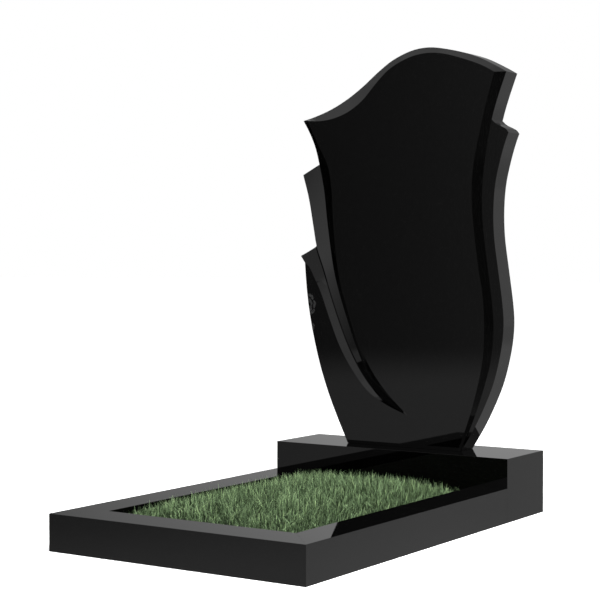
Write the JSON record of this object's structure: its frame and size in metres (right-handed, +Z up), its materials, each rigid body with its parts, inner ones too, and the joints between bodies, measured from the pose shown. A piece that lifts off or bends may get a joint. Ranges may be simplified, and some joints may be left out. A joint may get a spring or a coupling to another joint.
{
  "type": "granite grave monument",
  "caption": "Polished black granite grave monument: carved leaf-edged stele on a low base block, with a kerb enclosing a bed of turf.",
  "frame": {"origin": "on the ground, under the middle of the whole plot", "axes": "+Z up, the stele's height; the carved front looks along -Y, over the turf bed; +X to the right seen from the front"},
  "size_m": [0.66, 1.055, 1.1453],
  "materials": {
    "stele_granite": "mirror-polished black granite",
    "base_granite": "mirror-polished black granite",
    "kerb_granite": "mirror-polished black granite",
    "turf": "soil with growing grass"
  },
  "bodies": {
    "root": {"stele": "stele_granite", "base_block": "base_granite", "kerb_left": "kerb_granite", "kerb_right": "kerb_granite", "kerb_front": "kerb_granite", "turf_bed": "turf"}
  },
  "joints": []
}
